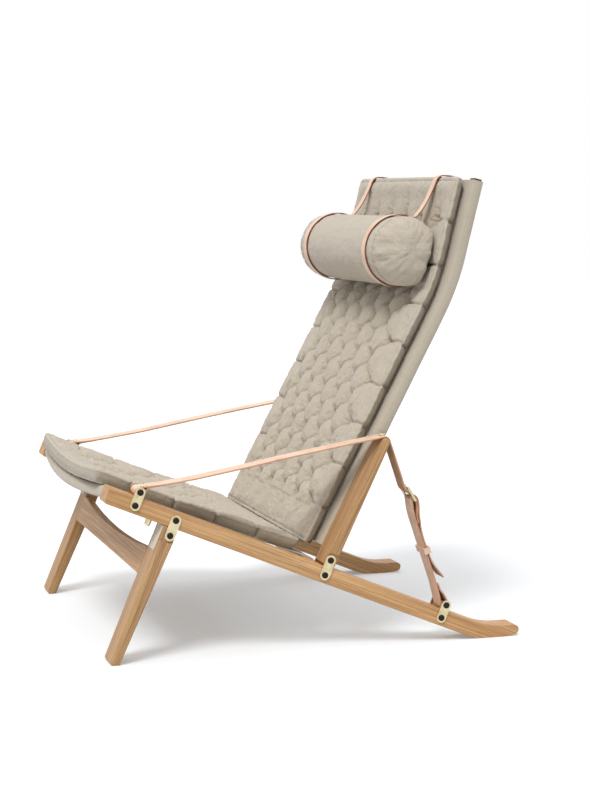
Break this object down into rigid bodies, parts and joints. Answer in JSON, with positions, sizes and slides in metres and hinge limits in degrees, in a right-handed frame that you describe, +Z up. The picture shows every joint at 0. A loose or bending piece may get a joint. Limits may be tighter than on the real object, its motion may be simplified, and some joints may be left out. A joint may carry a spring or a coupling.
{
  "type": "lounge chair",
  "caption": "Folding lounge chair with raked oak rails, brass link-plate hinges, quilted canvas pads, leather arm straps and a counterweighted head pillow",
  "frame": {"origin": "on the floor, at the middle of the chair's plan outline, x = 0 on the plane of symmetry", "axes": "+Z up, the sitter faces -Y, +X to the sitter's left"},
  "size_m": [0.734, 0.8363, 0.8993],
  "materials": {
    "oiled_oak": "oiled, satin, straight grain",
    "natural_canvas": "plain woven linen canvas, matt",
    "natural_leather": "vegetable tanned, waxed grain side",
    "pale_brass": "brushed, lightly aged",
    "black_steel": "blackened, waxed",
    "end_cap": "matt dark plug"
  },
  "bodies": {
    "seat_frame": {"left_rail": "oiled_oak", "right_rail": "oiled_oak", "left_front_link_plates": "pale_brass", "right_front_link_plates": "pale_brass", "left_rear_link_plates": "pale_brass", "right_rear_link_plates": "pale_brass", "left_front_strap_bracket": "pale_brass", "right_front_strap_bracket": "pale_brass", "left_rear_strap_bracket": "pale_brass", "right_rear_strap_bracket": "pale_brass", "strap_rollers": "pale_brass", "link_rail_bolts": "black_steel", "leg_pivot_bolts": "black_steel", "post_pivot_bolts": "black_steel", "bracket_rail_bolts": "black_steel", "roller_bolts": "black_steel", "rail_studs": "pale_brass", "seat_front_batten": "oiled_oak", "seat_rear_batten": "oiled_oak", "seat_sling": "natural_canvas", "seat_pad": "natural_canvas", "left_arm_strap": "natural_leather", "right_arm_strap": "natural_leather", "left_lower_strap": "natural_leather", "right_lower_strap": "natural_leather", "left_buckle": "pale_brass", "right_buckle": "pale_brass", "left_strap_keeper": "natural_leather", "right_strap_keeper": "natural_leather"},
    "front_legs": {"left_leg": "oiled_oak", "right_leg": "oiled_oak", "leg_cross_rail": "oiled_oak", "cross_rail_dowels": "oiled_oak", "leg_face_pads": "natural_canvas"},
    "back_frame": {"left_post": "oiled_oak", "right_post": "oiled_oak", "left_pole": "oiled_oak", "right_pole": "oiled_oak", "pole_caps": "end_cap", "back_top_bar": "oiled_oak", "back_top_hem": "natural_canvas", "back_sling": "natural_canvas", "pole_screws": "black_steel", "strap_studs": "pale_brass", "back_pad": "natural_canvas"},
    "head_pillow_body": {"head_pillow": "natural_canvas", "pillow_bands": "natural_leather", "pillow_front_straps": "natural_leather"},
    "counterweight_body": {"counterweight": "natural_leather", "pillow_rear_straps": "natural_leather"},
    "left_tongue": {"left_buckle_tongue": "pale_brass"},
    "right_tongue": {"right_buckle_tongue": "pale_brass"}
  },
  "joints": [
    {"name": "front_leg_fold", "type": "hinge", "parent": "seat_frame", "child": "front_legs", "pos_m": [0, -0.28442, 0.23715], "axis": [1, 0, 0], "range_deg": [0, 80]},
    {"name": "back_fold", "type": "hinge", "parent": "seat_frame", "child": "back_frame", "pos_m": [0, 0.02707, 0.17307], "axis": [1, 0, 0], "range_deg": [0, 75], "deforming": ["left_arm_strap", "right_arm_strap", "seat_pad", "back_pad"]},
    {"name": "pillow_slide", "type": "slide", "parent": "back_frame", "child": "head_pillow_body", "axis": [0, 0.2672, 0.9636], "range_m": [-0.015, 0.04], "deforming": ["pillow_front_straps"]},
    {"name": "counterweight_slide", "type": "slide", "parent": "back_frame", "child": "counterweight_body", "axis": [0, 0, 1], "range_m": [-0.04, 0.015], "deforming": ["pillow_rear_straps"]},
    {"name": "left_tongue_hinge", "type": "hinge", "parent": "seat_frame", "child": "left_tongue", "pos_m": [0.335, 0.19773, 0.27991], "axis": [-1, 0, 0], "range_deg": [0, 70]},
    {"name": "right_tongue_hinge", "type": "hinge", "parent": "seat_frame", "child": "right_tongue", "pos_m": [-0.335, 0.19773, 0.27991], "axis": [-1, 0, 0], "range_deg": [0, 70]}
  ],
  "couplings": [
    {"joint": "counterweight_slide", "follows": "pillow_slide", "ratio": -1}
  ]
}
